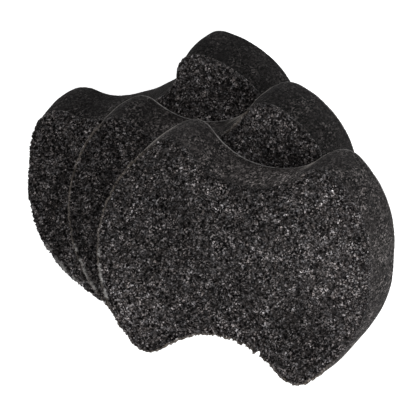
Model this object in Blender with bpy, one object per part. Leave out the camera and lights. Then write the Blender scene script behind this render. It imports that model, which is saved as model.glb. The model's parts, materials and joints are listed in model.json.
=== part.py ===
"""Three exfoliating sponges, piled flat and fanned out, scrub side up.

Each sponge is a laminated block with one outline: a disc with a concave bite on
each side of its waist, for the finger and the thumb. The outline is three kinds of
arc that meet smoothly: two round ends, four rounded horns and two bites.

From the bottom up, a sponge is a thick body of soft foam, a thin film of adhesive
and a slab of coarse scrubbing foam. The bottom sponge lies on Z = 0 with its long
axis along X, and the centre of its underside is the origin.
"""
import math

import bmesh
import bpy
import numpy as np
from mathutils import Matrix

MM = 0.001
QUARTER_TURN = math.pi / 2

# Outline of one sponge, seen from above
SPONGE_LENGTH = 140.0 * MM
END_RADIUS = 69.0 * MM
WAIST_WIDTH = 76.4 * MM
BITE_RADIUS = 41.8 * MM
HORN_RADIUS = 11.2 * MM

# Layers of one sponge
FOAM_THICKNESS = 42.0 * MM
BOND_THICKNESS = 0.4 * MM
SCRUB_THICKNESS = 4.4 * MM
LAYER_GAP = 0.3 * MM
PILE_GAP = 0.3 * MM

# Side wall of the foam body, which swells where the block relaxes after cutting
FOAM_BULGE = 1.2 * MM
FOAM_BACK_ROUNDING = 2.4 * MM
FOAM_SEAM_ROUNDING = 0.9 * MM

# Edges of the other layers
BOND_INSET = 0.5 * MM
SCRUB_FACE_ROUNDING = 1.6 * MM
SCRUB_SEAM_ROUNDING = 0.6 * MM
SCRUB_OVERHANG = 0.3 * MM

# How each upper sponge lies on the one below it, in the lower sponge's own axes
MIDDLE_SHIFT_ALONG = 32.0 * MM
MIDDLE_SHIFT_ACROSS = -18.3 * MM
MIDDLE_TURN_DEGREES = -14.7
TOP_SHIFT_ALONG = 28.4 * MM
TOP_SHIFT_ACROSS = -13.5 * MM
TOP_TURN_DEGREES = -16.4

# Facets
END_STEPS = 12
HORN_STEPS = 4
BITE_STEPS = 7
WALL_STEPS = 5
ROUNDING_STEPS = 3
SHARPEST_SMOOTH_DEGREES = 35

FOAM_COLOUR = (0.034, 0.032, 0.031, 1.0)
BOND_COLOUR = (0.010, 0.010, 0.011, 1.0)
SCRUB_COLOUR = (0.041, 0.038, 0.037, 1.0)
FOAM_ROUGHNESS = 0.95
BOND_ROUGHNESS = 0.60
SCRUB_ROUGHNESS = 0.90


def clear_scene():
    """Remove every object, mesh and material that the file opened with."""
    for item in list(bpy.data.objects):
        bpy.data.objects.remove(item, do_unlink=True)
    for mesh in list(bpy.data.meshes):
        bpy.data.meshes.remove(mesh)
    for material in list(bpy.data.materials):
        bpy.data.materials.remove(material)


def make_material(name, colour, roughness):
    material = bpy.data.materials.new(name)
    material.use_nodes = True
    shader = material.node_tree.nodes["Principled BSDF"]
    shader.inputs["Base Color"].default_value = colour
    shader.inputs["Roughness"].default_value = roughness
    shader.inputs["Metallic"].default_value = 0.0
    return material


def arc(centre, radius, start, stop, steps):
    """Points along an arc from angle start up to, but not at, angle stop."""
    angles = np.linspace(start, stop, steps, endpoint=False)
    return np.column_stack((centre[0] + radius * np.cos(angles),
                            centre[1] + radius * np.sin(angles)))


def angle_from(centre, point):
    return math.atan2(point[1] - centre[1], point[0] - centre[0])


def outline(offset):
    """The sponge's outline moved outwards by offset, anticlockwise.

    The arcs are tangent, so an offset keeps their centres and angles and changes
    only their radii: the convex arcs grow and the concave bite shrinks. Every
    offset has the same number of points in the same order.
    """
    end_centre = np.array((SPONGE_LENGTH / 2 - END_RADIUS, 0.0))
    bite_centre = np.array((0.0, WAIST_WIDTH / 2 + BITE_RADIUS))

    # The horn's centre lies inside the end circle and outside the bite circle
    span = np.linalg.norm(bite_centre - end_centre)
    from_end = END_RADIUS - HORN_RADIUS
    from_bite = BITE_RADIUS + HORN_RADIUS
    along = (span ** 2 + from_end ** 2 - from_bite ** 2) / (2 * span)
    aside = math.sqrt(from_end ** 2 - along ** 2)
    direction = (bite_centre - end_centre) / span
    sideways = np.array((direction[1], -direction[0]))
    horn_centre = end_centre + direction * along + sideways * aside

    end_stop = angle_from(end_centre, horn_centre)
    horn_stop = angle_from(horn_centre, bite_centre)
    bite_start = angle_from(bite_centre, horn_centre)
    quarter = np.vstack((
        arc(end_centre, END_RADIUS + offset, 0.0, end_stop, END_STEPS),
        arc(horn_centre, HORN_RADIUS + offset, end_stop, horn_stop, HORN_STEPS),
        arc(bite_centre, BITE_RADIUS - offset, bite_start, -QUARTER_TURN, BITE_STEPS)))
    waist = np.array(((0.0, WAIST_WIDTH / 2 + offset),))
    left_quarter = quarter[:0:-1] * (-1, 1)
    left_end = quarter[:1] * (-1, 1)
    lower_left = quarter[1:] * (-1, -1)
    lower_right = quarter[:0:-1] * (1, -1)
    return np.vstack((quarter, waist, left_quarter, left_end,
                      lower_left, -waist, lower_right))


def rounding(radius, start, stop):
    """Steps of a rounded edge as pairs of (inset, depth) from start to stop.

    An angle of 0 is on the flat face, and a right angle is on the side wall.
    """
    angles = np.linspace(start, stop, ROUNDING_STEPS + 1)
    return [(radius * (1 - math.sin(a)), radius * (1 - math.cos(a))) for a in angles]


def foam_profile():
    """Side wall of the foam body as pairs of (offset, height), bottom to top."""
    low = [(-inset, depth)
           for inset, depth in rounding(FOAM_BACK_ROUNDING, 0.0, QUARTER_TURN)]
    high = [(-inset, FOAM_THICKNESS - depth)
            for inset, depth in rounding(FOAM_SEAM_ROUNDING, QUARTER_TURN, 0.0)]
    wall_bottom = FOAM_BACK_ROUNDING
    wall_top = FOAM_THICKNESS - FOAM_SEAM_ROUNDING
    wall = []
    for share in np.linspace(0, 1, WALL_STEPS + 1)[1:-1]:
        bulge = FOAM_BULGE * math.sin(math.pi * share)
        wall.append((bulge, wall_bottom + (wall_top - wall_bottom) * share))
    return low + wall + high


def bond_profile():
    """The film is flat and stops just short of the edge, as spread adhesive does."""
    return [(-BOND_INSET, 0.0), (-BOND_INSET, BOND_THICKNESS)]


def scrub_profile():
    """Side wall of the scrub slab, which leans out towards its face."""
    low = [(-inset, depth)
           for inset, depth in rounding(SCRUB_SEAM_ROUNDING, 0.0, QUARTER_TURN)]
    high = [(SCRUB_OVERHANG - inset, SCRUB_THICKNESS - depth)
            for inset, depth in rounding(SCRUB_FACE_ROUNDING, QUARTER_TURN, 0.0)]
    return low + high


def loft(name, profile, material):
    """Stack one outline ring for each step of the profile and skin between them."""
    shape = bmesh.new()
    rings = []
    for offset, height in profile:
        points = outline(offset)
        rings.append([shape.verts.new((x, y, height)) for x, y in points])
    for lower, upper in zip(rings, rings[1:]):
        count = len(lower)
        for i in range(count):
            j = (i + 1) % count
            shape.faces.new((lower[i], lower[j], upper[j], upper[i]))
    shape.faces.new(list(reversed(rings[0])))
    shape.faces.new(rings[-1])
    bmesh.ops.recalc_face_normals(shape, faces=shape.faces)
    mesh = bpy.data.meshes.new(name)
    shape.to_mesh(mesh)
    shape.free()
    mesh.materials.append(material)
    mesh.shade_smooth()
    mesh.set_sharp_from_angle(angle=math.radians(SHARPEST_SMOOTH_DEGREES))
    return mesh


def place(name, mesh, carrier, height):
    """Put one layer at its height on its sponge's carrier."""
    layer = bpy.data.objects.new(name, mesh)
    bpy.context.scene.collection.objects.link(layer)
    layer.parent = carrier
    layer.location = (0.0, 0.0, height)


def make_carrier(name, placement):
    """An empty at the centre of a sponge's underside, on its lift axis."""
    carrier = bpy.data.objects.new(name, None)
    bpy.context.scene.collection.objects.link(carrier)
    carrier.matrix_world = placement
    return carrier


def build():
    clear_scene()
    foam = loft("foam_body", foam_profile(),
                make_material("foam", FOAM_COLOUR, FOAM_ROUGHNESS))
    bond = loft("bond_layer", bond_profile(),
                make_material("bond", BOND_COLOUR, BOND_ROUGHNESS))
    scrub = loft("scrub_layer", scrub_profile(),
                 make_material("scrub", SCRUB_COLOUR, SCRUB_ROUGHNESS))

    bond_height = FOAM_THICKNESS + LAYER_GAP
    scrub_height = bond_height + BOND_THICKNESS + LAYER_GAP
    sponge_height = scrub_height + SCRUB_THICKNESS

    # Name, shift along, shift across, rise and turn from the sponge below
    rise_of_one = sponge_height + PILE_GAP
    pile = (("bottom", 0.0, 0.0, 0.0, 0.0),
            ("middle", MIDDLE_SHIFT_ALONG, MIDDLE_SHIFT_ACROSS,
             rise_of_one, MIDDLE_TURN_DEGREES),
            ("top", TOP_SHIFT_ALONG, TOP_SHIFT_ACROSS,
             rise_of_one, TOP_TURN_DEGREES))
    placement = Matrix.Identity(4)
    for name, along, across, rise, turn in pile:
        step = Matrix.Translation((along, across, rise))
        spin = Matrix.Rotation(math.radians(turn), 4, "Z")
        placement = placement @ step @ spin
        carrier = make_carrier(name + "_carrier", placement)
        place(name + "_foam_body", foam, carrier, 0.0)
        place(name + "_bond_layer", bond, carrier, bond_height)
        place(name + "_scrub_layer", scrub, carrier, scrub_height)
        print(name, "centre", [round(v / MM, 2) for v in placement.translation])


build()
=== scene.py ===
# %% [markdown]
# # Three exfoliating sponges in a fanned pile
#
# Each sponge is two foams glued face to face. The thick one is soft and has pores
# too fine to count. The thin one scrubs: its cells are a couple of millimetres wide
# and open, so what is left between them is a gritty net of struts.
#
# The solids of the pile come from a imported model, which fixes every size and place.
# Here each layer gets a finer skin that fills nearly the same space.

import json
import math
from types import SimpleNamespace

import bpy
import numpy as np
from mathutils import Matrix, Vector

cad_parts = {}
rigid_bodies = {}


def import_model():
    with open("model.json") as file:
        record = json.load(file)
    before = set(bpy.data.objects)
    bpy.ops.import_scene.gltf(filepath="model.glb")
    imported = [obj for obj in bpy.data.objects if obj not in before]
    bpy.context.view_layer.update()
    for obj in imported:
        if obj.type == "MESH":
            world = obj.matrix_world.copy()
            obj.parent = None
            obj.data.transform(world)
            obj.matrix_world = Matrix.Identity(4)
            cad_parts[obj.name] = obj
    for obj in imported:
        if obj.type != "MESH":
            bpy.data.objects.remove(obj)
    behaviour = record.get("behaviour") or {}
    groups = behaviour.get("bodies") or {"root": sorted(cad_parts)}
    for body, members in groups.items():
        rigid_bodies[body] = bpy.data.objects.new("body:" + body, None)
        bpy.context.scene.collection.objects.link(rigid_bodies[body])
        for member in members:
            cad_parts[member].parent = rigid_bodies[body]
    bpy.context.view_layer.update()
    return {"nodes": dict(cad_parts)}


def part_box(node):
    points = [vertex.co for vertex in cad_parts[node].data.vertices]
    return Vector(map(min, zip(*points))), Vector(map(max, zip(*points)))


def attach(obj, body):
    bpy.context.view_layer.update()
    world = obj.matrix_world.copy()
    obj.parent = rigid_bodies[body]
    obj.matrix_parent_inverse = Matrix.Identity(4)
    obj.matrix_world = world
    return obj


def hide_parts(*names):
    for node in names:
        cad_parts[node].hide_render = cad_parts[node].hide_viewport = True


for item in list(bpy.data.objects):
    bpy.data.objects.remove(item, do_unlink=True)
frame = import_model()
print("solids:", sorted(frame["nodes"]))

# %% [markdown]
# ## Where each sponge lies
#
# All three sponges are one shape, turned and shifted. A shape that is alike on both
# sides of its two middle lines has its centre at the mean of its points, and its
# long axis where those points spread the most. So the frame itself says how each
# sponge lies, and no number has to be copied.

# %% Read each sponge's place from its solids
MM = 0.001
SPONGES = ("bottom", "middle", "top")


def lie_of(sponge):
    """Centre of a sponge's underside and the turn of its long axis, in radians.

    The outline's mean point is the centre. The long axis is the direction in which
    the outline's points vary most, taken with its X part positive.
    """
    mesh = frame["nodes"][sponge + "_bond_layer"].data
    corners = np.zeros(len(mesh.vertices) * 3)
    mesh.vertices.foreach_get("co", corners)
    outline = np.unique(corners.reshape(-1, 3)[:, :2].round(7), axis=0)
    centre = outline.mean(axis=0)
    spread, directions = np.linalg.eigh(np.cov((outline - centre).T))
    long_axis = directions[:, np.argmax(spread)]
    long_axis = long_axis * np.sign(long_axis[0])
    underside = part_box(sponge + "_foam_body")[0].z
    return np.array((*centre, underside)), math.atan2(long_axis[1], long_axis[0])


LIES = {sponge: lie_of(sponge) for sponge in SPONGES}
for sponge, (centre, turn) in LIES.items():
    print(sponge, "centre mm", (centre / MM).round(2), "turn", round(math.degrees(turn), 2))

FOAM_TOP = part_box("bottom_foam_body")[1].z
BOND_LOW, BOND_HIGH = [corner.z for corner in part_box("bottom_bond_layer")]
SPONGE_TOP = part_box("bottom_scrub_layer")[1].z
print("foam to", round(FOAM_TOP / MM, 2), "mm, whole sponge to", round(SPONGE_TOP / MM, 2), "mm")

# %% [markdown]
# ## Where the camera stands
#
# The camera looks from where the photograph was taken. Its three angles, in radians
# from the front sponge's own axes, were found by laying that sponge's outline over
# the photograph until the two agreed. They come early because some marks on the foam
# depend on which side the camera is.

# %% Directions of the picture
CAMERA_TILT = 0.30482
CAMERA_TURN = -0.25828
CAMERA_ROLL = -0.20041

view = (Matrix.Rotation(CAMERA_ROLL, 3, "Z") @ Matrix.Rotation(CAMERA_TURN, 3, "Y")
        @ Matrix.Rotation(CAMERA_TILT, 3, "X"))
spin = Matrix.Rotation(LIES["top"][1], 3, "Z")
RIGHT, UPWARDS, BACK = [spin @ row for row in view]
VIEWER_SIDE = np.array(BACK.xy.normalized())
print("camera's side, seen from above:", VIEWER_SIDE.round(4))

# %% [markdown]
# ## The outline
#
# Seen from above, a sponge is a disc with a bite taken out on each side for the
# thumb and a finger. It could be drawn as a spline, but the cutting die is made of
# arcs, and arcs that touch smoothly can be moved outwards or inwards exactly: their
# centres stay and only their radii change. The walls and edges below use that.

# %% Outline as three kinds of arc
LENGTH = 140.0 * MM
END_RADIUS = 69.0 * MM
WAIST = 76.4 * MM
BITE_RADIUS = 41.8 * MM
HORN_RADIUS = 11.2 * MM

END_CENTRE = np.array((LENGTH / 2 - END_RADIUS, 0.0))
BITE_CENTRE = np.array((0.0, WAIST / 2 + BITE_RADIUS))


def horn_centre():
    """The point inside the end circle by a horn radius and outside the bite by one.

    It is where two circles cross: one round the end's centre and one round the
    bite's centre, each with its radius moved by the horn's radius.
    """
    span = np.linalg.norm(BITE_CENTRE - END_CENTRE)
    from_end = END_RADIUS - HORN_RADIUS
    from_bite = BITE_RADIUS + HORN_RADIUS
    along = (span ** 2 + from_end ** 2 - from_bite ** 2) / (2 * span)
    aside = math.sqrt(from_end ** 2 - along ** 2)
    ahead = (BITE_CENTRE - END_CENTRE) / span
    return END_CENTRE + ahead * along + np.array((ahead[1], -ahead[0])) * aside


HORN_CENTRE = horn_centre()


def direction(start, stop):
    """The angle from one point to another, anticlockwise from the long axis."""
    return math.atan2(stop[1] - start[1], stop[0] - start[0])


END_ANGLE = direction(END_CENTRE, HORN_CENTRE)
HORN_ANGLE = direction(HORN_CENTRE, BITE_CENTRE)
BITE_ANGLE = direction(BITE_CENTRE, HORN_CENTRE)
ARC_LENGTHS = np.array((END_RADIUS * END_ANGLE,
                        HORN_RADIUS * (HORN_ANGLE - END_ANGLE),
                        BITE_RADIUS * (BITE_ANGLE + math.pi / 2)))
QUARTER_LENGTH = ARC_LENGTHS.sum()
print("outline mm round", round(4 * QUARTER_LENGTH / MM, 1))


def outline_at(share):
    """Points and outward directions of the outline at shares 0 to 1 of its length.

    A quarter of the outline runs along the end arc, the horn arc and the bite arc.
    The other three quarters are its mirror images, walked the other way where the
    mirroring turns it round.
    """
    quarter = np.floor(share * 4).astype(int) % 4
    within = share * 4 - np.floor(share * 4)
    forward = quarter % 2 == 0
    along = np.where(forward, within, 1 - within) * QUARTER_LENGTH
    first, second = ARC_LENGTHS[0], ARC_LENGTHS[0] + ARC_LENGTHS[1]
    on_end = along <= first
    on_horn = (along > first) & (along <= second)
    end_angle = along / END_RADIUS
    horn_angle = END_ANGLE + (along - first) / HORN_RADIUS
    bite_angle = BITE_ANGLE - (along - second) / BITE_RADIUS
    angle = np.where(on_end, end_angle, np.where(on_horn, horn_angle, bite_angle))
    radius = np.where(on_end, END_RADIUS, np.where(on_horn, HORN_RADIUS, BITE_RADIUS))
    centre = np.where(on_end[:, None], END_CENTRE,
                      np.where(on_horn[:, None], HORN_CENTRE, BITE_CENTRE))
    ray = np.column_stack((np.cos(angle), np.sin(angle)))
    point = centre + ray * radius[:, None]
    outward = np.where((on_end | on_horn)[:, None], ray, -ray)
    flip_x = np.where((quarter == 1) | (quarter == 2), -1.0, 1.0)
    flip_y = np.where(quarter >= 2, -1.0, 1.0)
    flips = np.column_stack((flip_x, flip_y))
    return point * flips, outward * flips


# %% [markdown]
# ## Foam as a cut through bubbles
#
# Foam starts as bubbles that grow until they touch. Cut through it and every bubble
# leaves a pit, and the walls between bubbles leave struts. The same picture comes
# from scattered points: give each place in space to its nearest point and the space
# falls into cells. Where the nearest and the second nearest point are equally far,
# there is a wall. One random point in each cube of a lattice is enough, and only
# the 27 cubes around a place have to be looked at. A whole number called the salt
# picks the random numbers, so every piece and pattern has cells of its own.

# %% Random cells, worked out for all points at once
def scramble(whole, salt):
    """A repeatable random number from 0 to 1 for each row of three whole numbers.

    The three numbers and the salt are multiplied by large odd numbers, added, and
    mixed by shifting and multiplying twice more, with overflow wrapping round.
    """
    with np.errstate(over="ignore"):
        mixed = (whole[:, 0].astype(np.uint64) * np.uint64(73856093)
                 ^ whole[:, 1].astype(np.uint64) * np.uint64(19349663)
                 ^ whole[:, 2].astype(np.uint64) * np.uint64(83492791)
                 ^ np.uint64(salt * 2654435761 % 2 ** 32))
        mixed = (mixed ^ (mixed >> np.uint64(13))) * np.uint64(0x9E3779B97F4A7C15)
        mixed = (mixed ^ (mixed >> np.uint64(29))) * np.uint64(0xBF58476D1CE4E5B9)
        mixed = mixed ^ (mixed >> np.uint64(32))
    return (mixed >> np.uint64(11)).astype(np.float64) / 2.0 ** 53


def cells(points, width, salt):
    """How far inside its cell each place lies, in cell widths, and the cell's number.

    Space is cut into cubes of the given width, and each holds one random point. The
    first result is the distance to the second nearest of them less that to the
    nearest, so it is 0 on a wall between cells. The second is a random number that
    belongs to the nearest.
    """
    scaled = points / width
    home = np.floor(scaled).astype(np.int64)
    nearest = np.full(len(points), 9.0)
    second = np.full(len(points), 9.0)
    number = np.zeros(len(points))
    for step in np.ndindex(3, 3, 3):
        cube = home + np.array(step) - 1
        spot = cube + np.column_stack([scramble(cube, salt + k) for k in range(3)])
        gap = np.linalg.norm(scaled - spot, axis=1)
        closer = gap < nearest
        second = np.where(closer, nearest, np.minimum(second, gap))
        number = np.where(closer, scramble(cube, salt + 3), number)
        nearest = np.minimum(nearest, gap)
    return second - nearest, number


def drift(points, width, salt):
    """A smooth random value from 0 to 1 that changes over about the given width.

    Each corner of a lattice has a random number, and a place between corners takes
    their mix, eased so that the mix has no creases.
    """
    scaled = points / width
    home = np.floor(scaled).astype(np.int64)
    part = scaled - home
    part = part * part * (3 - 2 * part)
    total = np.zeros(len(points))
    for corner in np.ndindex(2, 2, 2):
        weight = np.prod(np.where(np.array(corner) == 1, part, 1 - part), axis=1)
        total += weight * scramble(home + np.array(corner), salt)
    return total


def ease(value, low, high):
    """0 below low, 1 above high, and a smooth step between."""
    share = np.clip((value - low) / (high - low), 0, 1)
    return share * share * (3 - 2 * share)


# %% [markdown]
# ## A lid and a wall
#
# Each foam is a flat lid that turns over a rounded edge into a wall. A lid made of
# rings would crowd its points at the middle, so it is a square grid instead, pressed
# into the outline: the square's rim follows the outline and its middle stays even.
# The wall is rows of the outline, carried down a profile of offsets and heights.

# %% Lid and mesh
REACH_STEPS = 7200


def rim_of(grid):
    """The point numbers round the edge of a square grid, anticlockwise."""
    return np.concatenate((grid[:-1, -1], grid[-1, :0:-1], grid[:0:-1, 0], grid[0, :-1]))


def reach_of_outline(angle, inset):
    """How far from the middle the outline lies at each angle, and its share there.

    Both are read off many points of the outline, moved inwards by the inset.
    """
    shares = np.linspace(0, 1, REACH_STEPS, endpoint=False)
    rim, outward = outline_at(shares)
    rim = rim - outward * inset
    rim_angle = np.unwrap(np.arctan2(rim[:, 1], rim[:, 0]))
    reach = np.linalg.norm(rim, axis=1)
    angle = np.mod(angle - rim_angle[0], 2 * math.pi) + rim_angle[0]
    closed = np.append(rim_angle, rim_angle[0] + 2 * math.pi)
    return (np.interp(angle, closed, np.append(reach, reach[0])),
            np.interp(angle, closed, np.append(shares, 1.0)))


def lid_points(count, inset):
    """A square grid pressed into the outline, moved inwards by the inset.

    A grid point at (u, v) goes to the disc point (u sqrt(1 - v v / 2),
    v sqrt(1 - u u / 2)), and its distance from the middle is then stretched by the
    outline's reach in that direction.
    """
    line = np.linspace(-1, 1, count + 1)
    u, v = np.meshgrid(line, line)
    x = u * np.sqrt(1 - v * v / 2)
    y = v * np.sqrt(1 - u * u / 2)
    there, share = reach_of_outline(np.arctan2(y, x), inset)
    return np.stack((x * there, y * there), axis=-1), share


def put_in_scene(name, data):
    """A new object in the scene, with the given mesh, lamp or camera data."""
    made = bpy.data.objects.new(name, data)
    bpy.context.scene.collection.objects.link(made)
    return made


def make_mesh(name, points, body):
    """One closed mesh object at the origin, from points and the faces of a body."""
    mesh = bpy.data.meshes.new(name)
    mesh.from_pydata(points, [], body.quads.tolist() + body.fan.tolist())
    mesh.validate()
    mesh.shade_smooth()
    print(name, len(points), "points,", len(mesh.polygons), "faces")
    return put_in_scene(name, mesh)


# %% A body from a lid and a wall
def body_of_rings(count, lid_inset, lid_height, profile, up):
    """A body's points and faces: a lid, a wall down a profile, and a closing fan.

    The profile is rows of (offset, height), starting just past the lid's rim, and up
    is 1 where the lid faces up and -1 where it faces down. The body also holds, for
    each point, the way the skin faces (square to the line from the row before to the
    row after), the outline's nearest point, the outward direction there, and the
    inset, which is how far in from that point it lies.
    """
    plan, share = lid_points(count, lid_inset)
    lid = np.column_stack((plan.reshape(-1, 2), np.full((count + 1) ** 2, lid_height)))
    grid = np.arange((count + 1) ** 2).reshape(count + 1, count + 1)
    here = rim_of(grid)
    rim_share = share.reshape(-1)[here]
    base, outward = outline_at(rim_share)
    around = len(base)
    rings = [np.column_stack((base + outward * offset, np.full(around, height)))
             for offset, height in profile]
    points = np.vstack((lid, *rings, ((0.0, 0.0, profile[-1][1]),)))

    faces = np.stack((grid[:-1, :-1], grid[:-1, 1:], grid[1:, 1:], grid[1:, :-1]), axis=-1)
    strips = [faces.reshape(-1, 4)]
    normals = [np.tile((0.0, 0.0, up), (len(lid), 1))]
    rows = np.array([(-lid_inset, lid_height), *profile])
    for k in range(len(profile)):
        there = len(lid) + k * around + np.arange(around)
        strips.append(np.column_stack((here, there, np.roll(there, -1), np.roll(here, -1))))
        here = there
        run, rise = up * (rows[min(k + 2, len(profile))] - rows[k])
        size = math.hypot(run, rise)
        normals.append(np.column_stack((outward * (-rise / size), np.full(around, run / size))))
    normals.append(((0.0, 0.0, -up),))
    fan = np.column_stack((here, np.full(around, len(points) - 1), np.roll(here, -1)))

    shares = np.concatenate((share.reshape(-1), np.tile(rim_share, len(profile)), (0.0,)))
    base, outward = outline_at(shares)
    inset = ((base - points[:, :2]) * outward).sum(axis=1)
    return SimpleNamespace(points=points, quads=np.vstack(strips)[:, ::up], fan=fan[:, ::up],
                           normals=np.vstack(normals), base=base, outward=outward, inset=inset)


# %% Places in the pile, and values for the materials
def turned(rows, turn):
    """Rows of x, y or x, y, z turned anticlockwise, seen from above, by radians."""
    c, s = math.cos(turn), math.sin(turn)
    width = rows.shape[1]
    return rows @ np.array(((c, s, 0), (-s, c, 0), (0, 0, 1)))[:width, :width]


def settle(points, sponge):
    """Turn and move points from a sponge's own axes to its place in the pile."""
    centre, turn = LIES[sponge]
    return turned(points, turn) + centre


def towards_viewer(body, sponge):
    """How far each point's outward direction faces the camera's side.

    It is the cosine of the angle between the two, seen from above.
    """
    return turned(body.outward, LIES[sponge][1]) @ VIEWER_SIDE


def set_attributes(piece, **named):
    """Write one value per point for each name, for the materials to read."""
    for name, values in named.items():
        layer = piece.data.attributes.new(name, "FLOAT", "POINT")
        layer.data.foreach_set("value", values.astype(np.float32))


def over_the_one_below(points, sponge):
    """1 where a point in a sponge's own axes lies over the sponge below, else 0.

    The point is carried into the lower sponge's axes, and its distance from the
    middle is compared with the outline's reach in that direction.
    """
    place = SPONGES.index(sponge)
    if place == 0:
        return np.zeros(len(points))
    centre, turn = LIES[SPONGES[place - 1]]
    x, y = turned(settle(points, sponge) - centre, -turn)[:, :2].T
    reach = reach_of_outline(np.arctan2(y, x), 0.0)[0]
    return (np.hypot(x, y) < reach).astype(float)


# %% [markdown]
# ## A hand-cut outline
#
# The die is made of arcs, but foam gives way under it, so no cut follows it quite.
# In the photograph all three sponges are fuller at their upper right. The front one
# is also fuller in its lower bite, and the back one in its upper bite and at its left
# end, while the back one's upper horns are slimmer on the bite's side. So the rim of
# foam, glue and pad moves by a sum of soft round spots. A spot is its place x, y, how
# far outwards it moves the rim, and its reach, all in millimetres.
#
# The two lower sponges also lean a little, as soft foam does under a load, which
# shows more of their upper wall. Their foot stays, and their face moves by x and y,
# also in millimetres.

# %% Fullness of the cut, and lean
RIM_REACH = 5.0 * MM
FULL_SPOTS = {
    "bottom": ((58, 40, 2.3, 36), (28, 48, -2.3, 15), (38, 56, 0.7, 14), (0, 39, 2.0, 22),
               (-31, 50, -1.4, 17), (-52, 48, 1.6, 18), (-66, 2, 1.3, 38)),
    "middle": ((60, 34, 1.9, 34),),
    "top": ((62, 34, 1.3, 34), (69, -16, 0.9, 24), (14, -41, 1.3, 33), (45, -53, 0.8, 20),
            (-46, -51, -0.7, 20), (-24, -43, 0.7, 15))}
LEANS = {"bottom": (-1.2, -2.8), "middle": (-0.3, -1.2), "top": (0.0, 0.0)}


def sum_of_spots(points, spots):
    """The sum of soft round spots at each point, seen from above.

    A spot has its full amount within a fifth of its reach, and none past its reach.
    """
    total = np.zeros(len(points))
    for x, y, amount, reach in spots:
        away = np.linalg.norm(points[:, :2] / MM - (x, y), axis=1)
        total += amount * (1 - ease(away, 0.2 * reach, reach))
    return total


def near_rim(body):
    """1 on the rim, falling evenly to 0 where the inset comes to the rim's reach."""
    return 1 - np.clip(body.inset / RIM_REACH, 0, 1)


def hand_cut(body, sponge):
    """How far the fuller cut and the lean move each point, in x and y.

    The cut moves the rim outwards, and the lean grows in proportion to the height.
    """
    cut = sum_of_spots(body.base, FULL_SPOTS[sponge]) * MM * near_rim(body)
    lean = np.array(LEANS[sponge]) * MM * body.points[:, 2:] / SPONGE_TOP
    return body.outward * cut[:, None] + lean


whole_rim = outline_at(np.linspace(0, 1, REACH_STEPS, endpoint=False))[0]
for sponge in SPONGES:
    moves = sum_of_spots(whole_rim, FULL_SPOTS[sponge])
    print(sponge, "rim moves by", moves.min().round(2), "to", moves.max().round(2), "mm")

# %% [markdown]
# ## The soft foam
#
# The thick body is cut from a slab of soft foam. A cut block isn't a perfect prism:
# its walls swell a little where the foam relaxes, and its edges are rounded. It could
# be a box with a bevel, but then the skin would be as smooth as plastic. Here the
# skin has enough points to be moved in and out by shallow pores, so that the edge of
# the block is never a clean line.

# %% Rows up the soft foam's wall
FOAM_ROUNDINGS = {"bottom": 2.4 * MM, "middle": 1.2 * MM, "top": 1.2 * MM}
FOAM_BULGE = 1.2 * MM
SEAM_ROUNDING = 0.3 * MM
EDGE_ROWS = 5
FOAM_LID_CELLS = 180
FOAM_WALL_ROWS = 56


def foam_rows(rounding):
    """Offsets and heights up the foam's wall, from its rounded underside.

    A quarter circle leads from the underside into the wall, the wall swells by half
    a sine wave, and a small quarter circle ends it at the seam. An upper block is
    pressed flat on the one below, so its first quarter circle is smaller.
    """
    turn = np.linspace(0, math.pi / 2, EDGE_ROWS + 1)
    low = np.column_stack((np.sin(turn) - 1, 1 - np.cos(turn))) * rounding
    start, stop = rounding, FOAM_TOP - SEAM_ROUNDING
    share = np.linspace(0, 1, FOAM_WALL_ROWS + 1)[1:-1]
    wall = np.column_stack((FOAM_BULGE * np.sin(math.pi * share),
                            start + (stop - start) * share))
    high = np.column_stack((np.cos(turn) - 1, np.sin(turn))) * SEAM_ROUNDING
    return np.vstack((low[1:], wall, high + (0.0, stop)))


# %% [markdown]
# Where an upper block lies on the one below, a thin pale line runs round its foot:
# a painted rim highlight. It is tallest on the flanks, where the wall stands edge on to
# the viewer. How much a wall faces the viewer is a cosine, and each pair of cosines
# below is where a mark starts and ends. The bites are painted paler, as painted light,
# and a few more spots get painted light or painted shade. Such a spot is its place x,
# y, its stops of light and its reach. Each stop doubles the light.

# %% Marks on the soft foam
# Where the painted rim highlight at the foot of an upper block lies, and how strong it is.
EDGE_HEIGHT = 1.4 * MM
EDGE_FADE = 1.3 * MM
EDGE_WIDENING = 1.3 * MM
EDGE_ON = (0.2, 0.6)
EDGE_SEEN = (-0.15, 0.15)
FLANK_ON = (0.2, 0.45)
FREE_SHARE = 0.35
HIDDEN_SHARE = 0.12
# Painted light in the bites, and spots of painted light or shade, in stops.
BITE_LIGHT_NEAR = 12.0 * MM
BITE_LIGHT_FAR = 26.0 * MM
BITE_LIGHT_STOPS = 0.77
FOAM_LIGHT_SPOTS = {"bottom": ((-28, 47, 0.6, 28), (62, 28, 0.6, 26)),
              "middle": ((-14, 44, 1.2, 40),),
              "top": ((54, 42, -0.6, 34), (20, 42, 0.6, 22), (70, -12, -0.3, 30))}


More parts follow.
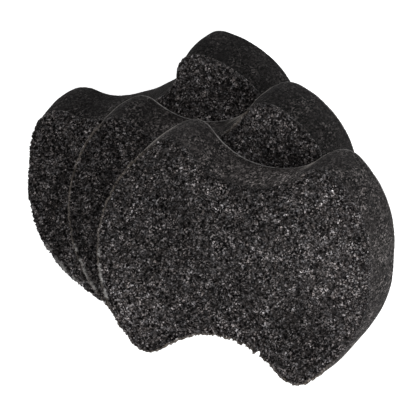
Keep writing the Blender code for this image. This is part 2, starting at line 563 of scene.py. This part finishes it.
def foam_marks(body, sponge):
    """Painted marks on a block: rim highlight and flanks from 0 to 1, light in stops.

    The painted rim highlight is low on the wall, taller where the wall stands edge on
    to the viewer, and weaker on the far side and where the edge hangs free. The bottom
    block lies on no other, so it has neither edge nor flanks.
    """
    wall = np.zeros(len(body.points))
    wall[(FOAM_LID_CELLS + 1) ** 2:-1] = 1.0
    # Painted light: the bites are made paler, and each spot adds painted light or shade.
    bite_light = wall * (1 - ease(np.abs(body.points[:, 0]), BITE_LIGHT_NEAR, BITE_LIGHT_FAR))
    painted_light = bite_light * BITE_LIGHT_STOPS + sum_of_spots(body.points, FOAM_LIGHT_SPOTS[sponge])
    upper_wall = wall * (sponge != SPONGES[0])
    side = towards_viewer(body, sponge)
    # Painted rim highlight: a pale line at the foot, shaped by which side the viewer is on.
    height = EDGE_HEIGHT + EDGE_WIDENING * (1 - ease(np.abs(side), *EDGE_ON))
    low = 1 - ease(body.points[:, 2] - height, 0.0, EDGE_FADE)
    seen = HIDDEN_SHARE + (1 - HIDDEN_SHARE) * ease(side, *EDGE_SEEN)
    over = np.maximum(FREE_SHARE, over_the_one_below(body.points, sponge))
    # Flanks: where the painted sheen may show, on walls edge on to the viewer.
    flank = 1 - ease(np.abs(side), *FLANK_ON)
    return {"edge": upper_wall * low * seen * over, "flank": upper_wall * flank, "painted_light": painted_light}


# %% Soft foam blocks
SOFT_PORE = 1.3 * MM
SOFT_SLOPE = 0.6
SOFT_DEPTH = 0.22 * MM
SOFT_WAVE = 9.0 * MM
SOFT_WAVE_DEPTH = 0.35 * MM


def make_foam_block(sponge, salt):
    """A foam body whose skin is moved inwards by shallow pores and a slow wave."""
    rounding = FOAM_ROUNDINGS[sponge]
    body = body_of_rings(FOAM_LID_CELLS, rounding, 0.0, foam_rows(rounding), -1)
    inside, number = cells(body.points, SOFT_PORE, salt)
    pore = ease(inside, 0.0, SOFT_SLOPE) * number
    wave = drift(body.points, SOFT_WAVE, salt + 11)
    depth = pore * SOFT_DEPTH + wave * SOFT_WAVE_DEPTH
    depth[-1] = 0.0
    skin = body.points - body.normals * depth[:, None]
    skin[:, :2] += hand_cut(body, sponge)
    piece = make_mesh(sponge + "_foam_block", settle(skin, sponge), body)
    set_attributes(piece, pore=pore, **foam_marks(body, sponge))
    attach(piece, sponge + "_sponge")
    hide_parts(sponge + "_foam_body")
    return piece


foam_blocks = {sponge: make_foam_block(sponge, 100 + 40 * k)
               for k, sponge in enumerate(SPONGES)}

# %% [markdown]
# ## The scrubbing foam
#
# The thin layer is open foam with wide cells. Where the knife went through a bubble
# there is a dark pit, and where it went through a wall there is a rough lump that
# catches the light. Both come from one set of random cells: some open into pits and
# the others stay as lumps with creases between them. A bump in the material alone
# would look flat from the side, so the pits are real and they break the rim too.

# %% Depth of the scrubbing foam's pits
PORE_WIDTH = 1.8 * MM
FINE_WIDTH = 1.0 * MM
PATCH_WIDTH = 11.0 * MM
PIT_DEPTH = 1.3 * MM
OPEN_SHARE = 0.42
OPEN_SWING = 0.2
OPEN_BLUR = 0.05
PIT_SLOPE = (0.05, 0.5)
CREASE_SLOPE = 0.3
FINE_SLOPE = 0.5
SHALLOWEST_SHARE = 0.6
CREASE_SHARE = 0.45
FINE_SHARE = 0.22


def scrub_relief(points, salt):
    """How deep each point lies below the uncut face, 0 to 1, and a number per cell.

    A cell whose random number is low opens into a pit, deepest well inside the cell,
    and a second number made from the first sets how deep. The other cells stay as
    lumps with a crease between them. Cells about half as wide roughen both. The
    slopes are shares of a cell's width.
    """
    inside, number = cells(points, PORE_WIDTH, salt)
    patch = drift(points, PATCH_WIDTH, salt + 17)
    limit = OPEN_SHARE + OPEN_SWING * (patch - 0.5)
    opened = 1 - ease(number, limit - OPEN_BLUR, limit + OPEN_BLUR)
    depth = SHALLOWEST_SHARE + (1 - SHALLOWEST_SHARE) * np.mod(number * 37, 1)
    pit = opened * ease(inside, *PIT_SLOPE) * depth
    crease = (1 - opened) * (1 - ease(inside, 0.0, CREASE_SLOPE)) * CREASE_SHARE
    fine_inside, fine_number = cells(points, FINE_WIDTH, salt + 29)
    fine = ease(fine_inside, 0.0, FINE_SLOPE) * fine_number * FINE_SHARE
    return np.clip(pit + crease + fine, 0, 1), number


# %% Rows down the scrubbing foam's wall
SCRUB_ROUNDING = 1.6 * MM
SCRUB_OVERHANG = 0.3 * MM
SCRUB_LID_CELLS = 280
SCRUB_WALL_ROWS = 12
SEAM_HEIGHT = FOAM_TOP + 0.1 * MM
POCKET_INSET = 0.42 * MM
POCKET_TOP = BOND_HIGH + 0.15 * MM


def scrub_rows():
    """Offsets and heights down the wall, then into the pocket for the glue film.

    A quarter circle leads from the face into the wall, and the wall leans in to the
    seam. The last rows turn under it and up, so that the film lies in a pocket.
    """
    turn = np.linspace(0, math.pi / 2, EDGE_ROWS + 1)
    edge = np.column_stack((np.sin(turn) - 1, np.cos(turn) - 1)) * SCRUB_ROUNDING
    edge += (SCRUB_OVERHANG, SPONGE_TOP)
    share = np.linspace(0, 1, SCRUB_WALL_ROWS + 1)[1:]
    start = SPONGE_TOP - SCRUB_ROUNDING
    wall = np.column_stack((SCRUB_OVERHANG * (1 - share),
                            start + (SEAM_HEIGHT - start) * share))
    pocket = ((-POCKET_INSET, SEAM_HEIGHT), (-POCKET_INSET, POCKET_TOP))
    return np.vstack((edge[1:], wall, pocket))


# %% [markdown]
# The rim of coarse foam never cuts clean: it tears a little from cell to cell. The
# front pad is torn most at one place in its lower bite, where it has a narrow nick
# with a raised lip beside it.

# %% The pads' torn rim
RAG_WIDTH = 2.4 * MM
RAG_SLOPE = 0.25
RAG_DEPTH = 0.8 * MM
RAG_MEAN = 0.35
NICK_SPOT = np.array((18.9, -42.8)) * MM
NICK_REACH = 1.2 * MM
NICK_DEPTH = 2.6 * MM
LIP_SPOT = np.array((17.0, -41.9)) * MM
LIP_REACH = 2.4 * MM
LIP_HEIGHT = 1.2 * MM
FRAY_NEAR = 10.0 * MM
FRAY_FAR = 24.0 * MM


def torn_rim(base, sponge, salt):
    """How far in the rim is torn at each point of the outline, and how far nicked.

    Flat random cells along the outline each tear by an amount of their own. On the
    top sponge the tears deepen towards one narrow nick, a V cut from the edge, with
    a lip beside it.
    """
    flat = np.column_stack((base, np.zeros(len(base))))
    inside, tooth = cells(flat, RAG_WIDTH, salt + 43)
    torn = (tooth * ease(inside, 0.0, RAG_SLOPE) - RAG_MEAN) * RAG_DEPTH
    if sponge != SPONGES[-1]:
        return torn, np.zeros(len(base))
    from_nick = np.linalg.norm(base - NICK_SPOT, axis=1)
    frayed = 1 - ease(from_nick, FRAY_NEAR, FRAY_FAR)
    from_lip = np.linalg.norm(base - LIP_SPOT, axis=1)
    nick = np.maximum(1 - from_nick / NICK_REACH, 0) * NICK_DEPTH
    lip = np.maximum(1 - from_lip / LIP_REACH, 0) * LIP_HEIGHT
    return torn * (1 + frayed) - lip, nick


# %% [markdown]
# In the photograph a thin brown line runs along the far rim of each upper pad, and
# here it is a painted rim highlight. Three streaks of painted highlight lie just inside
# the rim of every left end, and the near rim gets painted shade. The pads too have
# spots of painted light and shade.

# %% Marks on the pads
# Where the painted rim highlight on the far rim lies.
LINE_SIDE = (-0.15, 0.2)
# Where the near rim gets painted shade.
DARK_SIDE = (0.1, 0.5)
RIM_LINE = (0.5 * MM, 1.1 * MM)
# Where the painted streaks of light lie across the rim.
STREAK_LINE = (1.4 * MM, 2.2 * MM)
STREAK_EDGE = (0.1 * MM, 0.5 * MM)
MARK_LOW = SPONGE_TOP - 3.0 * MM
MARK_HIGH = SPONGE_TOP - 1.2 * MM
STREAKS = ((-8.8 * MM, 2.2 * MM), (-19.8 * MM, 5.2 * MM), (-29.6 * MM, 2.6 * MM))
# Spots of painted light or shade on the pads, in stops.
PAD_LIGHT_SPOTS = {
    "bottom": ((-54, -40, 0.7, 34), (-25, 40, 0.5, 18), (40, 20, 0.6, 24)),
    "middle": ((-54, -40, 0.7, 40), (-25, 40, 0.5, 18)),
    "top": ((-54, -40, 0.7, 40), (-22, 40, 0.4, 16), (46, 8, 0.35, 24), (43, -29, -0.6, 28),
            (-33, 24, -0.45, 20))}


def pad_marks(body, sponge):
    """Painted marks on a pad: rim line, lit streaks, rim shade, 0 to 1; light in stops.

    The painted rim highlight lies where the outline turns away from the viewer, and the
    painted shade where it faces the viewer. Each of the streaks is a stretch of the left
    end, given by its middle and half its length across the sponge.
    """
    high = ease(body.points[:, 2], MARK_LOW, MARK_HIGH)
    side = towards_viewer(body, sponge)
    at_rim = 1 - ease(body.inset, *RIM_LINE)
    # Painted highlight on the far rim, which turns away from the viewer.
    line = at_rim * (1 - ease(side, *LINE_SIDE)) * high * (sponge != SPONGES[0])
    # Painted streaks of light just inside the rim of each left end.
    lit_streak = np.zeros(len(side))
    for middle, half in STREAKS:
        away = np.abs(body.base[:, 1] - middle)
        lit_streak = np.maximum(lit_streak, 1 - ease(away, 0.7 * half, 1.2 * half))
    across = ease(body.inset, *STREAK_EDGE) * (1 - ease(body.inset, *STREAK_LINE))
    lit_streak = lit_streak * (body.base[:, 0] < 0) * across * high
    return {"rim": line, "lit_streak": lit_streak, "shaded_near_rim": at_rim * ease(side, *DARK_SIDE),
            "painted_light": sum_of_spots(body.points, PAD_LIGHT_SPOTS[sponge])}


# %% Scrubbing pads
SKIN_START = SEAM_HEIGHT + 0.2 * MM
SKIN_FULL = SEAM_HEIGHT + 1.6 * MM


def make_scrub_pad(sponge, salt):
    """A scrubbing pad whose skin is moved inwards by its pits.

    Its rim is torn first: each point near the rim moves inwards by the tear at its
    place on the outline, less the further in it lies. The last two rings and the
    middle point lie in the pocket, which stays smooth.
    """
    lid_inset = SCRUB_ROUNDING - SCRUB_OVERHANG
    body = body_of_rings(SCRUB_LID_CELLS, lid_inset, SPONGE_TOP, scrub_rows(), 1)
    relief, number = scrub_relief(body.points, salt)
    on_skin = ease(body.points[:, 2], SKIN_START, SKIN_FULL)
    pocket_start = -1 - 2 * 4 * SCRUB_LID_CELLS
    on_skin[pocket_start:] = 0.0
    torn, nick = torn_rim(body.base, sponge, salt)
    moved = (torn * on_skin + nick) * near_rim(body)
    skin = body.points - body.normals * (relief * PIT_DEPTH * on_skin)[:, None]
    skin[:, :2] += hand_cut(body, sponge) - body.outward * moved[:, None]
    piece = make_mesh(sponge + "_scrub_pad", settle(skin, sponge), body)
    set_attributes(piece, pit=relief, cell=number, **pad_marks(body, sponge))
    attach(piece, sponge + "_sponge")
    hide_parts(sponge + "_scrub_layer")
    return piece


scrub_pads = {sponge: make_scrub_pad(sponge, 500 + 60 * k)
              for k, sponge in enumerate(SPONGES)}

# %% [markdown]
# ## The film of glue
#
# A thin film of glue lies between the two foams. It stops short of the rim, and it
# follows the same hand-cut outline and lean, or its edge would show in the seam.

# %% Films of glue
FILM_CELLS = 60
FILM_INSET = 1.2 * MM
FILM_LID_INSET = 1.32 * MM


def make_film(sponge):
    """A thin flat sheet with the sponge's outline, a little smaller all round."""
    edge = ((-FILM_INSET, BOND_HIGH), (-FILM_INSET, BOND_LOW))
    body = body_of_rings(FILM_CELLS, FILM_LID_INSET, BOND_HIGH, edge, 1)
    body.points[:, :2] += hand_cut(body, sponge)
    piece = make_mesh(sponge + "_glue_film", settle(body.points, sponge), body)
    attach(piece, sponge + "_sponge")
    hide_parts(sponge + "_bond_layer")
    return piece


glue_films = {sponge: make_film(sponge) for sponge in SPONGES}

# %% [markdown]
# ## Materials
#
# Both foams are the same dark grey rubbery stuff, so they share four effects: cloudy
# mottling, a grain of single bubbles, painted glints on cut struts, and a slow change of
# tone. Each effect is a node group, made once, that gives out only values that change
# over the surface. The shader with its fixed gloss stays in the material.

# %% Helpers for node trees
def add(tree, kind, sockets=None, **settings):
    """Add a node, set its own settings, and set or link its inputs by socket name."""
    made = tree.nodes.new(kind)
    for key, value in settings.items():
        setattr(made, key, value)
    for key, value in (sockets or {}).items():
        if isinstance(value, bpy.types.NodeSocket):
            tree.links.new(value, made.inputs[key])
        else:
            made.inputs[key].default_value = value
    return made


def math_node(tree, operation, first, second):
    """The output of a Math node with two inputs."""
    return add(tree, "ShaderNodeMath", {0: first, 1: second}, operation=operation).outputs[0]


def times(tree, product, *factors):
    """Several values multiplied, by one Math node after another."""
    for factor in factors:
        product = math_node(tree, "MULTIPLY", product, factor)
    return product


def from_stops(tree, stops):
    """What light is multiplied by: two to the power of the stops."""
    return math_node(tree, "POWER", 2.0, stops)


def rerange(tree, value, low, high, to_low, to_high, kind="LINEAR"):
    """The output of a Map Range node: low to high becomes to_low to to_high."""
    return add(tree, "ShaderNodeMapRange",
               {"Value": value, "From Min": low, "From Max": high,
                "To Min": to_low, "To Max": to_high},
               interpolation_type=kind).outputs["Result"]


def blend(tree, factor, first, second):
    """The output of a colour Mix node."""
    return add(tree, "ShaderNodeMix", {0: factor, 6: first, 7: second},
               data_type="RGBA").outputs[2]


def scaled(tree, vector, *factors):
    """A place or a colour multiplied by each of several values in turn."""
    for factor in factors:
        vector = add(tree, "ShaderNodeVectorMath", {0: vector, "Scale": factor},
                     operation="SCALE").outputs[0]
    return vector


def feed(tree, inputs, **sources):
    """Link each source to the input of its name, where _ stands for a space."""
    for key, source in sources.items():
        tree.links.new(source, inputs[key.replace("_", " ")])


# %% [markdown]
# Every pattern reads the place on the piece in millimetres, and its width is given
# in millimetres too, so it can be compared with the real foam.

# %% Helpers for patterns
def millimetres(tree, salt, squeeze=1.0):
    """Object coordinates in millimetres, shifted by a salt so that patterns differ.

    A squeeze below 1 shortens the height, which draws the pattern out upwards.
    """
    place = scaled(tree, add(tree, "ShaderNodeTexCoord").outputs["Object"], 1 / MM)
    ratio = add(tree, "ShaderNodeCombineXYZ", {0: 1.0, 1: 1.0, 2: squeeze}).outputs[0]
    drawn = add(tree, "ShaderNodeVectorMath", {0: place, 1: ratio},
                operation="MULTIPLY").outputs[0]
    return add(tree, "ShaderNodeVectorMath", {0: drawn, 1: salt},
               operation="ADD").outputs[0]


def noise(tree, place, width, detail, roughness=0.5):
    """The output of a Noise node whose widest waves have the given width."""
    scale = math_node(tree, "DIVIDE", 1.0, width)
    return add(tree, "ShaderNodeTexNoise",
               {"Vector": place, "Scale": scale, "Detail": detail,
                "Roughness": roughness}).outputs[0]


def bubbles(tree, place, width):
    """Distance from the nearest bubble's middle, and that bubble's random number."""
    scale = math_node(tree, "DIVIDE", 1.0, width)
    bubble = add(tree, "ShaderNodeTexVoronoi", {"Vector": place, "Scale": scale},
                 feature="F1").outputs
    number = add(tree, "ShaderNodeSeparateColor", {0: bubble["Color"]}).outputs[0]
    return bubble["Distance"], number


def start_group(name, outputs, **inputs):
    """A new node group with named float outputs, and inputs with their defaults."""
    tree = bpy.data.node_groups.new(name, "ShaderNodeTree")
    new_socket = tree.interface.new_socket
    for title, default in inputs.items():
        socket = new_socket(title, in_out="INPUT", socket_type="NodeSocketFloat")
        socket.default_value = default
    for title in outputs:
        new_socket(title, in_out="OUTPUT", socket_type="NodeSocketFloat")
    given = tree.nodes.new("NodeGroupInput")
    out = tree.nodes.new("NodeGroupOutput")
    return tree, given.outputs, out.inputs


# %% Group for mottled foam
BRIGHTEST_TONE = 6.0


def make_mottle():
    """Light and dark mottling, with waves from the given width down to a sixteenth.

    The noise less a half is taken as stops of light, so dark spots are as common as
    light ones. Tone is the multiplier, and Height is the noise itself.
    """
    tree, given, out = start_group("foam_mottle", ("Tone", "Height"), Width=4.0, Stops=8.0,
                                   Coarseness=0.7, Squeeze=1.0, Salt=0.0)
    place = millimetres(tree, given["Salt"], given["Squeeze"])
    cloud = noise(tree, place, given["Width"], 4.0, given["Coarseness"])
    centred = math_node(tree, "SUBTRACT", cloud, 0.5)
    tone = from_stops(tree, times(tree, centred, given["Stops"]))
    feed(tree, out, Tone=math_node(tree, "MINIMUM", tone, BRIGHTEST_TONE), Height=cloud)
    return tree


# %% Group for a grain of single bubbles
def make_grain():
    """A tone of its own for each tiny bubble, light as often as dark, in stops.

    Patches of the given width weaken the grain in some places and add to it in
    others, as foam has closed smooth spots among its open cells.
    """
    tree, given, out = start_group("bubble_grain", ("Tone", "Height"), Width=1.0, Stops=2.0,
                                   Patch=5.0, Squeeze=1.0, Salt=0.0)
    place = millimetres(tree, given["Salt"], given["Squeeze"])
    number = bubbles(tree, place, given["Width"])[1]
    centred = math_node(tree, "SUBTRACT", number, 0.5)
    patch = noise(tree, place, given["Patch"], 1.0)
    strength = rerange(tree, patch, 0.38, 0.62, 0.6, 1.2)
    stops = times(tree, centred, strength, given["Stops"])
    feed(tree, out, Tone=from_stops(tree, stops), Height=number)
    return tree


# %% Group for painted glints on cut struts
def make_painted_glints():
    """Small round painted highlights, one in a few bubbles, on cut struts."""
    tree, given, out = start_group("painted_strut_glints", ("Glint",), Width=1.0, Share=0.2, Salt=0.0)
    away, number = bubbles(tree, millimetres(tree, given["Salt"]), given["Width"])
    near = rerange(tree, away, 0.15, 0.5, 1.0, 0.0, "SMOOTHSTEP")
    chosen = math_node(tree, "LESS_THAN", number, given["Share"])
    feed(tree, out, Glint=times(tree, near, chosen))
    return tree


# %% Group for a slow change of tone
def make_slow_tone():
    """Tone near 1 that drifts by the given amount over the given width."""
    tree, given, out = start_group("slow_tone", ("Tone",), Width=12.0, Amount=0.2, Salt=0.0)
    cloud = noise(tree, millimetres(tree, given["Salt"]), given["Width"], 2.0)
    centred = rerange(tree, cloud, 0.25, 0.75, -1.0, 1.0)
    swing = times(tree, centred, given["Amount"])
    feed(tree, out, Tone=math_node(tree, "ADD", swing, 1.0))
    return tree


MOTTLE = make_mottle()
GRAIN = make_grain()
PAINTED_GLINTS = make_painted_glints()
SLOW_TONE = make_slow_tone()
print("groups:", MOTTLE.name, GRAIN.name, PAINTED_GLINTS.name, SLOW_TONE.name)


# %% Helpers for materials
BUMP_STRENGTH = 0.8


def use_group(tree, group, **values):
    """Place a group in a material, set its inputs by name, and hand on its outputs."""
    made = tree.nodes.new("ShaderNodeGroup")
    made.node_tree = group
    for key, value in values.items():
        made.inputs[key].default_value = value
    return made.outputs


def attribute(tree, name):
    """One of the values that were written on the mesh point by point."""
    return add(tree, "ShaderNodeAttribute", attribute_name=name).outputs["Fac"]


def bump(tree, height, depth):
    """The output of a Bump node, where a height of 1 stands for the given depth."""
    return add(tree, "ShaderNodeBump",
               {"Height": height, "Strength": BUMP_STRENGTH, "Distance": depth}).outputs[0]


def start_material(name, **fixed):
    """A new material, its node tree and its shader's inputs, the fixed ones set."""
    material = bpy.data.materials.new(name)
    material.use_nodes = True
    shader = material.node_tree.nodes["Principled BSDF"]
    for key, value in fixed.items():
        shader.inputs[key.replace("_", " ")].default_value = value
    return material, material.node_tree, shader.inputs


def put_on(material, piece):
    """Give a piece its material."""
    piece.data.materials.append(material)
    print(piece.name, "has", material.name)


# %% [markdown]
# ## The finish of the soft foam
#
# Close up, soft black foam is a matt brownish grey with a fine salt and pepper grain,
# painted shade in the pores and small painted glints. The two lower blocks are toned
# darker as painted shade, as in the photograph. The marks worked out with the shape are
# read back here as attributes: painted light and shade, a painted rim highlight at the
# foot and the flanks.
#
# The fuzz of cut cell walls looks paler at a glancing angle. Sheen is made for that,
# but it would lift every dark pore too, so most of it is a painted sheen: a mix by Layer
# Weight on the flanks, which starts only where the view all but grazes the skin.

# %% Soft foam material
# Painted shade: the lower blocks get darker tones than the top one, for the pile's shade.
FOAM_SHADE_TONES = {"bottom": 0.19, "middle": 0.25, "top": 0.58}
FOAM_BROWN = (0.0240, 0.0207, 0.0195, 1.0)
FOAM_GREY = (0.0211, 0.0200, 0.0202, 1.0)
# Colour of the painted glints.
FOAM_GLINT = (0.085, 0.086, 0.092, 1.0)
FOAM_FUZZ = (0.80, 0.80, 0.82, 1.0)
# Colour of the painted rim highlight at the foot.
FOOT_RIM_HIGHLIGHT = (0.420, 0.408, 0.400, 1.0)
# Colour of the painted sheen on the flanks.
FLANK_SHEEN_PAINT = (0.560, 0.520, 0.480, 1.0)
GLINT_MIX = 0.3
GLANCING_MIX = 0.36
GRAIN_RELIEF = 0.35
FOAM_SQUEEZE = 0.45


def make_soft_foam(sponge, salt):
    """Brown to grey times each tone, then painted glints, rim highlight, flank sheen."""
    material, tree, shader = start_material(
        sponge + "_soft_foam", Metallic=0.0, Specular_IOR_Level=0.04,
        Sheen_Weight=0.02, Sheen_Roughness=0.2, Sheen_Tint=FOAM_FUZZ)
    mottle = use_group(tree, MOTTLE, Width=2.6, Stops=6.2, Coarseness=0.9,
                       Squeeze=FOAM_SQUEEZE, Salt=salt)
    grain = use_group(tree, GRAIN, Width=0.7, Stops=5.2, Patch=9.0,
                      Squeeze=FOAM_SQUEEZE, Salt=salt + 11)
    cloud = use_group(tree, SLOW_TONE, Width=16.0, Amount=0.14, Salt=salt + 50)
    glint = use_group(tree, PAINTED_GLINTS, Width=0.9, Share=0.12, Salt=salt + 30)["Glint"]
    height = mottle["Height"]
    base = blend(tree, height, FOAM_BROWN, FOAM_GREY)
    # Painted shade: the colour is darker deeper in each pore.
    shade = rerange(tree, attribute(tree, "pore"), 0.0, 1.0, 1.1, 0.7)
    # Painted light and shade from the bites and the spots, in stops.
    painted_light = from_stops(tree, attribute(tree, "painted_light"))
    base = scaled(tree, base, mottle["Tone"], grain["Tone"], cloud["Tone"], shade, painted_light)
    # Painted glints: pale spots mixed into the colour.
    base = blend(tree, times(tree, glint, GLINT_MIX), base, FOAM_GLINT)
    base = scaled(tree, base, FOAM_SHADE_TONES[sponge])

    # Painted rim highlight along the foot of an upper block.
    broken = rerange(tree, height, 0.38, 0.58, 0.35, 1.0)
    pressed = times(tree, attribute(tree, "edge"), broken)
    # Painted sheen: pale on the flanks where the view all but grazes the skin.
    facing = add(tree, "ShaderNodeLayerWeight", {"Blend": 0.5}).outputs["Facing"]
    glancing = rerange(tree, facing, 0.90, 0.98, 0.0, GLANCING_MIX)
    flank_mark = attribute(tree, "flank")
    pale = math_node(tree, "MAXIMUM", pressed, times(tree, glancing, flank_mark))
    base = blend(tree, pale, base, blend(tree, flank_mark, FOOT_RIM_HIGHLIGHT, FLANK_SHEEN_PAINT))

    relief = math_node(tree, "ADD", height, times(tree, grain["Height"], GRAIN_RELIEF))
    rough = rerange(tree, height, 0.3, 0.7, 0.98, 0.85)
    feed(tree, shader, Base_Color=base, Roughness=rough, Normal=bump(tree, relief, 1.0 * MM))
    return material


for k, sponge in enumerate(SPONGES):
    put_on(make_soft_foam(sponge, 7.0 * k), foam_blocks[sponge])

# %% [markdown]
# ## The finish of the scrubbing foam
#
# The scrubbing foam is stiffer and a little glossy on its cut struts, with small bluish
# painted glints, and painted shade makes its pits nearly black. The pit depth, the cell
# number and the marks were worked out with the shape and are read back here as
# attributes, so colour and shape always agree. The marks are spots of painted light and
# shade, painted shade on the near rim, a painted highlight on the far rim and painted
# streaks of light, broken up by the mottling. The pile shades the lower pads, so their
# tones are paler to make up for it.

# %% Scrubbing foam material
SCRUB_TONES = {"bottom": 1.05, "middle": 0.81, "top": 0.67}
SCRUB_BROWN = (0.0400, 0.0346, 0.0328, 1.0)
SCRUB_GREY = (0.0353, 0.0347, 0.0364, 1.0)
# Colour of the painted glints on the struts.
SCRUB_GLINT = (0.16, 0.161, 0.172, 1.0)
# Colour of the painted highlight on the far rim.
FAR_RIM_HIGHLIGHT = (0.260, 0.225, 0.190, 1.0)
# Colour of the painted streaks of light.
STREAK_HIGHLIGHT = (0.410, 0.400, 0.390, 1.0)
LINE_MIX = 0.5


def make_scrub_foam(sponge, salt):
    """Brown to grey times tones and painted shade, with painted glints and highlights."""
    material, tree, shader = start_material(
        sponge + "_scrub_foam", Metallic=0.0, Specular_IOR_Level=0.08)
    mottle = use_group(tree, MOTTLE, Width=3.2, Stops=6.6, Coarseness=1.0, Salt=salt + 20)
    grain = use_group(tree, GRAIN, Width=0.66, Stops=6.2, Patch=4.0, Salt=salt + 33)
    cloud = use_group(tree, SLOW_TONE, Width=12.0, Amount=0.2, Salt=salt + 90)
    glint = use_group(tree, PAINTED_GLINTS, Width=1.1, Share=0.16, Salt=salt + 60)["Glint"]
    height = mottle["Height"]
    pit = attribute(tree, "pit")
    base = blend(tree, rerange(tree, height, 0.4, 0.65, 0.0, 1.0), SCRUB_BROWN, SCRUB_GREY)
    lump = rerange(tree, attribute(tree, "cell"), 0.4, 1.0, 0.8, 1.35)
    # Painted shade: the colour darkens deeper in each pit.
    deep = rerange(tree, pit, 0.05, 0.7, 1.15, 0.25)
    # Painted shade on the near rim, which faces the viewer.
    rim_shade = rerange(tree, attribute(tree, "shaded_near_rim"), 0.0, 1.0, 1.0, 0.5)
    base = scaled(tree, base, mottle["Tone"], grain["Tone"], lump, deep, rim_shade)
    # Painted glints, fewer down in the pits.
    lit = times(tree, glint, rerange(tree, pit, 0.1, 0.6, 0.6, 0.1))
    base = blend(tree, lit, base, SCRUB_GLINT)
    # Painted light and shade from the spots, in stops.
    painted_light = from_stops(tree, attribute(tree, "painted_light"))
    base = scaled(tree, base, cloud["Tone"], painted_light, SCRUB_TONES[sponge])

    broken = rerange(tree, height, 0.4, 0.56, 0.1, 1.0)
    # Painted highlight on the far rim.
    base = blend(tree, times(tree, attribute(tree, "rim"), broken, LINE_MIX), base, FAR_RIM_HIGHLIGHT)
    # Painted streaks of light at the left ends.
    base = blend(tree, times(tree, attribute(tree, "lit_streak"), broken), base, STREAK_HIGHLIGHT)
    rough = rerange(tree, glint, 0.0, 1.0, 0.95, 0.6)
    feed(tree, shader, Base_Color=base, Roughness=rough, Normal=bump(tree, height, 1.5 * MM))
    return material


for k, sponge in enumerate(SPONGES):
    put_on(make_scrub_foam(sponge, 7.0 * k), scrub_pads[sponge])

# %% [markdown]
# ## The finish of the glue
#
# The film between the foams shows only if the layers are pulled apart. It is dark,
# rubbery, and blotchy where the glue was rolled on.

# %% Glue film material
GLUE_THIN = (0.006, 0.006, 0.007, 1.0)
GLUE_THICK = (0.022, 0.021, 0.020, 1.0)


def make_glue():
    """Thin to thick glue by the mottling, times a slow blotchy tone."""
    material, tree, shader = start_material("glue_film", Metallic=0.0)
    blotch = use_group(tree, SLOW_TONE, Width=5.0, Amount=0.5, Salt=3.0)
    height = use_group(tree, MOTTLE, Width=3.0, Stops=3.0, Salt=8.0)["Height"]
    base = blend(tree, height, GLUE_THIN, GLUE_THICK)
    feed(tree, shader, Base_Color=scaled(tree, base, blotch["Tone"]),
         Roughness=rerange(tree, height, 0.3, 0.7, 0.35, 0.65))
    return material


glue = make_glue()
for film in glue_films.values():
    put_on(glue, film)

# %% [markdown]
# ## Floor and light
#
# The picture is a plain one: a white ground, with soft light from everywhere and a
# little more from the right. A wide pale floor and a pale world give that, and one
# large lamp gives the direction. The floor glows a little, so that the ground stays
# white right up to the foam, as it does in the photograph.

# %% Floor and world
FLOOR_HALF = 10.0
FLOOR_GREY = (0.50, 0.50, 0.50)
FLOOR_GLOW = 0.92
WORLD_STRENGTH = 0.7
WHITE = (1.0, 1.0, 1.0, 1.0)

floor_mesh = bpy.data.meshes.new("floor")
floor_mesh.from_pydata([(x * FLOOR_HALF, y * FLOOR_HALF, 0)
                        for x, y in ((-1, -1), (1, -1), (1, 1), (-1, 1))],
                       [], [(0, 1, 2, 3)])
floor = put_in_scene("floor", floor_mesh)
pale_floor, tree, shader = start_material("pale_floor", Metallic=0.0, Roughness=0.9,
                                          Emission_Color=WHITE, Emission_Strength=FLOOR_GLOW)
cloud = use_group(tree, SLOW_TONE, Width=400.0, Amount=0.01, Salt=1.0)
feed(tree, shader, Base_Color=scaled(tree, FLOOR_GREY, cloud["Tone"]))
put_on(pale_floor, floor)

world = bpy.data.worlds.new("studio")
bpy.context.scene.world = world
world.use_nodes = True
sky = world.node_tree.nodes["Background"]
sky.inputs["Color"].default_value = WHITE
sky.inputs["Strength"].default_value = WORLD_STRENGTH
bpy.context.scene.view_settings.view_transform = "Standard"

# %% Lamp
PILE_CENTRE = Vector((0.032, -0.009, 0.075))
LAMP_SIDE = Vector((0.82, -0.35, 0.62)).normalized()
LAMP_DISTANCE = 0.34
LAMP_SIZE = 0.22
LAMP_POWER = 1.30

light = bpy.data.lights.new("key_lamp", "AREA")
light.size = LAMP_SIZE
light.energy = LAMP_POWER
lamp = put_in_scene("key_lamp", light)
lamp.location = PILE_CENTRE + LAMP_SIDE * LAMP_DISTANCE
lamp.rotation_euler = LAMP_SIDE.to_track_quat("Z", "Y").to_euler()
print("lamp at", [round(v, 3) for v in lamp.location])

# %% [markdown]
# ## Camera
#
# The camera's directions were worked out near the start. Its scale and the point it
# looks at come from the same match with the photograph. From five metres away the
# view is nearly parallel, as it is in the photograph.

# %% Camera from the match of the front sponge
PICTURE_WIDTH = 420
PICTURE_HEIGHT = 408
PIXELS_PER_MM = 2.0322
PIXEL = MM / PIXELS_PER_MM
FACE_PIXEL = (231.368, 262.801)
CAMERA_DISTANCE = 5.0
SENSOR_WIDTH = 36.0

face_centre = Vector(LIES["top"][0]) + Vector((0, 0, SPONGE_TOP))
spot = (face_centre + BACK * CAMERA_DISTANCE
        - RIGHT * (FACE_PIXEL[0] - PICTURE_WIDTH / 2) * PIXEL
        + UPWARDS * (FACE_PIXEL[1] - PICTURE_HEIGHT / 2) * PIXEL)

camera_data = bpy.data.cameras.new("camera")
camera_data.sensor_width = SENSOR_WIDTH
camera_data.lens = PIXELS_PER_MM / MM * CAMERA_DISTANCE * SENSOR_WIDTH / PICTURE_WIDTH
camera_data.clip_end = 4 * CAMERA_DISTANCE
camera = put_in_scene("camera", camera_data)
facing = Matrix((RIGHT, UPWARDS, BACK)).transposed().to_4x4()
camera.matrix_world = Matrix.Translation(spot) @ facing
bpy.context.scene.camera = camera
print("camera at", [round(v, 3) for v in spot], "lens", round(camera_data.lens, 1), "mm")
